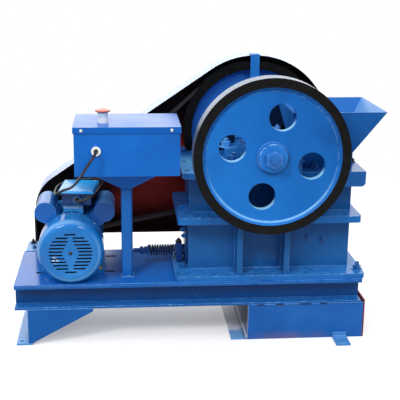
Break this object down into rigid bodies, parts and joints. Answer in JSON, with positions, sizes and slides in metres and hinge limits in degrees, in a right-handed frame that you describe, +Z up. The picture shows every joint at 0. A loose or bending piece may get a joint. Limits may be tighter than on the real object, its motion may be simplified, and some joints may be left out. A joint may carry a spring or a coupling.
{
  "type": "jaw crusher",
  "caption": "Laboratory jaw crusher on a channel frame: hopper, toothed jaws, flywheels, guarded belt drive, motor and control box with a stop button.",
  "frame": {"origin": "centre of the footprint at floor level", "axes": "+X from the motor end to the crusher end along the rails, +Y from the operator's side to the belt guard, +Z up"},
  "size_m": [0.968, 0.468, 0.737],
  "materials": {
    "frame_rails": "workshop blue enamel",
    "cross_members": "workshop blue enamel",
    "deck_plate": "workshop blue enamel",
    "left_foot_plate": "workshop blue enamel",
    "leg_gussets": "workshop blue enamel",
    "discharge_chute": "bare worn steel with blue overspray",
    "chute_walls": "workshop blue enamel",
    "chute_end_plate": "dark red primer",
    "anchor_lugs": "workshop blue enamel",
    "base_flange": "workshop blue enamel",
    "side_plates": "workshop blue enamel",
    "end_walls": "workshop blue enamel",
    "mid_flange": "workshop blue enamel",
    "top_flange": "workshop blue enamel",
    "body_ribs": "workshop blue enamel",
    "fixed_jaw_plate": "rough cast wear metal",
    "swing_jaw_plate": "rough cast wear metal",
    "swing_jaw": "workshop blue enamel on cast metal",
    "toggle_plate": "workshop blue enamel on cast metal",
    "toggle_seats": "workshop blue enamel on cast metal",
    "cheek_plates": "rough cast wear metal",
    "tension_rod": "turned steel",
    "tension_spring": "dark enamel on spring steel",
    "spring_bracket": "workshop blue enamel",
    "bearing_blocks": "workshop blue enamel",
    "bearing_caps": "workshop blue enamel",
    "feed_hopper": "workshop blue enamel",
    "motor_body": "glossy light blue motor enamel",
    "fan_cover": "glossy light blue motor enamel",
    "terminal_box": "glossy light blue motor enamel",
    "capacitor_covers": "glossy light blue motor enamel",
    "v_belts": "black rubber",
    "belt_guard": "workshop blue enamel",
    "guard_bracket": "workshop blue enamel",
    "guard_stay": "workshop blue enamel",
    "control_post": "workshop blue enamel",
    "post_bracket": "workshop blue enamel",
    "control_box": "workshop blue enamel",
    "control_box_lid": "workshop blue enamel",
    "stop_button_collar": "pale moulded plastic",
    "cable_glands": "moulded plastic",
    "motor_lead": "black sheath",
    "eccentric_shaft": "turned steel",
    "front_flywheel": "blue web, black face of the rim, bare turned rim",
    "rear_flywheel": "blue web, black rim edge, bare grooves",
    "shaft_nuts": "workshop blue enamel",
    "motor_shaft": "turned steel",
    "motor_fan": "black moulded plastic",
    "motor_pulley": "cast iron",
    "stop_button": "red moulded plastic"
  },
  "bodies": {
    "frame": {"frame_rails": "frame_rails", "cross_members": "cross_members", "deck_plate": "deck_plate", "left_foot_plate": "left_foot_plate", "leg_gussets": "leg_gussets", "discharge_chute": "discharge_chute", "chute_walls": "chute_walls", "chute_end_plate": "chute_end_plate", "anchor_lugs": "anchor_lugs", "base_flange": "base_flange", "side_plates": "side_plates", "end_walls": "end_walls", "mid_flange": "mid_flange", "top_flange": "top_flange", "body_ribs": "body_ribs", "fixed_jaw_plate": "fixed_jaw_plate", "swing_jaw_plate": "swing_jaw_plate", "swing_jaw": "swing_jaw", "toggle_plate": "toggle_plate", "toggle_seats": "toggle_seats", "cheek_plates": "cheek_plates", "tension_rod": "tension_rod", "tension_spring": "tension_spring", "spring_bracket": "spring_bracket", "bearing_blocks": "bearing_blocks", "bearing_caps": "bearing_caps", "feed_hopper": "feed_hopper", "motor_body": "motor_body", "fan_cover": "fan_cover", "terminal_box": "terminal_box", "capacitor_covers": "capacitor_covers", "v_belts": "v_belts", "belt_guard": "belt_guard", "guard_bracket": "guard_bracket", "guard_stay": "guard_stay", "control_post": "control_post", "post_bracket": "post_bracket", "control_box": "control_box", "control_box_lid": "control_box_lid", "stop_button_collar": "stop_button_collar", "cable_glands": "cable_glands", "motor_lead": "motor_lead"},
    "crankshaft": {"eccentric_shaft": "eccentric_shaft", "front_flywheel": "front_flywheel", "rear_flywheel": "rear_flywheel", "shaft_nuts": "shaft_nuts"},
    "motor_rotor": {"motor_shaft": "motor_shaft", "motor_fan": "motor_fan", "motor_pulley": "motor_pulley"},
    "button": {"stop_button": "stop_button"}
  },
  "joints": [
    {"name": "flywheel_spin", "type": "hinge", "parent": "frame", "child": "crankshaft", "pos_m": [0.177, 0.002, 0.516], "axis": [0, 1, 0], "continuous": true},
    {"name": "motor_spin", "type": "hinge", "parent": "frame", "child": "motor_rotor", "pos_m": [-0.3345, 0.174, 0.2555], "axis": [0, 1, 0], "continuous": true},
    {"name": "stop_button_press", "type": "slide", "parent": "frame", "child": "button", "axis": [0, 0, 1], "range_m": [-0.006, 0], "stiffness_N_per_m": 3000}
  ],
  "couplings": [
    {"joint": "motor_spin", "follows": "flywheel_spin", "ratio": 4.7108}
  ]
}
